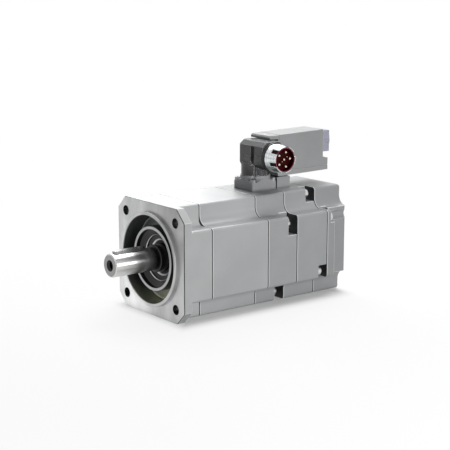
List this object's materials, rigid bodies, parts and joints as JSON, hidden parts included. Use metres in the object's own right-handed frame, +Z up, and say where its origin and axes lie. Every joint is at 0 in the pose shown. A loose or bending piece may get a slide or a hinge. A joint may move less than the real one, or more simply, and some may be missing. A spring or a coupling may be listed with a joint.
{
  "type": "servo motor",
  "caption": "Flange-mounted servo motor with keyed shaft, holding brake, encoder, swivelling power connector and encoder interface box.",
  "frame": {"origin": "where the shaft axis meets the flange mounting face", "axes": "-Y along the shaft towards its free end, +Z up towards the connectors, +X towards the power connector socket"},
  "size_m": [0.155, 0.3737, 0.2331],
  "materials": {
    "paint_grey": "satin",
    "flange_aluminium": "turned front face, painted sides",
    "gasket_black": "matt",
    "seal_rubber": "matt",
    "shaft_steel": "ground",
    "bearing_steel": "ground",
    "cage_brass": "turned",
    "spring_steel": "rolled",
    "core_iron": "stacked sheet",
    "winding_copper": "varnished copper",
    "magnet_grey": "nickel plated",
    "screw_steel": "zinc plated",
    "encoder_metal": "turned",
    "disc_glass": "clear",
    "connector_paint": "satin",
    "nickel_ring": "satin nickel",
    "insert_red": "moulded",
    "pin_gold": "plated",
    "lead_black": "sleeve",
    "box_grey": "satin",
    "board_green": "lacquered",
    "socket_tin": "tinned",
    "cap_clear": "translucent"
  },
  "bodies": {
    "housing": {"front_shield": "flange_aluminium", "front_gasket": "gasket_black", "stator_housing": "paint_grey", "middle_gasket": "gasket_black", "rear_shield": "paint_grey", "rear_gasket": "gasket_black", "brake_housing": "paint_grey", "cover_gasket": "gasket_black", "rear_cover": "paint_grey", "shaft_seal": "seal_rubber", "front_bearing_outer": "bearing_steel", "rear_bearing_outer": "bearing_steel", "bearing_cap": "spring_steel", "wave_spring": "spring_steel", "stator_core": "core_iron", "stator_windings": "winding_copper", "brake_magnet": "core_iron", "brake_coil": "winding_copper", "brake_screws": "screw_steel", "encoder_body": "encoder_metal", "encoder_torque_arm": "spring_steel", "tie_bolts": "screw_steel", "brake_bolts": "screw_steel", "cover_bolts": "screw_steel", "power_foot": "connector_paint", "power_foot_screws": "screw_steel", "power_leads": "lead_black", "encoder_foot": "connector_paint", "encoder_foot_screws": "screw_steel", "encoder_box": "box_grey", "encoder_box_front": "box_grey", "encoder_box_floor": "box_grey", "encoder_board": "board_green", "encoder_socket": "socket_tin"},
    "rotor": {"shaft": "shaft_steel", "shaft_key": "shaft_steel", "rotor_core": "core_iron", "rotor_magnets": "magnet_grey", "balance_discs": "cage_brass", "front_bearing_inner": "bearing_steel", "rear_bearing_inner": "bearing_steel", "shaft_circlip": "spring_steel", "brake_hub": "core_iron", "encoder_hub": "encoder_metal", "encoder_disc": "disc_glass"},
    "front_ball_set": {"front_bearing_balls": "bearing_steel", "front_bearing_cage": "cage_brass"},
    "rear_ball_set": {"rear_bearing_balls": "bearing_steel", "rear_bearing_cage": "cage_brass"},
    "armature": {"brake_armature": "core_iron"},
    "power_elbow": {"power_head": "connector_paint", "swivel_ring": "spring_steel", "head_seal": "gasket_black", "power_insert": "insert_red", "power_pins": "pin_gold"},
    "socket_ring": {"locking_ring": "nickel_ring"},
    "cap": {"dust_cap": "cap_clear"}
  },
  "joints": [
    {"name": "rotor_spin", "type": "hinge", "parent": "housing", "child": "rotor", "pos_m": [0, 0, 0], "axis": [0, 1, 0], "continuous": true},
    {"name": "front_cage_spin", "type": "hinge", "parent": "housing", "child": "front_ball_set", "pos_m": [0, 0.036, 0], "axis": [0, 1, 0], "continuous": true},
    {"name": "rear_cage_spin", "type": "hinge", "parent": "housing", "child": "rear_ball_set", "pos_m": [0, 0.1593, 0], "axis": [0, 1, 0], "continuous": true},
    {"name": "armature_travel", "type": "slide", "parent": "rotor", "child": "armature", "axis": [0, 1, 0], "range_m": [0, 0.0005], "stiffness_N_per_m": 20000},
    {"name": "elbow_swivel", "type": "hinge", "parent": "housing", "child": "power_elbow", "pos_m": [0, 0.181, 0.1261], "axis": [0, 0, 1], "range_deg": [-180, 10]},
    {"name": "socket_ring_turn", "type": "hinge", "parent": "power_elbow", "child": "socket_ring", "pos_m": [0.056, 0.181, 0.1261], "axis": [1, 0, 0], "range_deg": [0, 45]},
    {"name": "dust_cap_pull", "type": "slide", "parent": "housing", "child": "cap", "axis": [0, 1, 0], "range_m": [0, 0.03]}
  ],
  "couplings": [
    {"joint": "front_cage_spin", "follows": "rotor_spin", "ratio": 0.4},
    {"joint": "rear_cage_spin", "follows": "rotor_spin", "ratio": 0.39652}
  ]
}
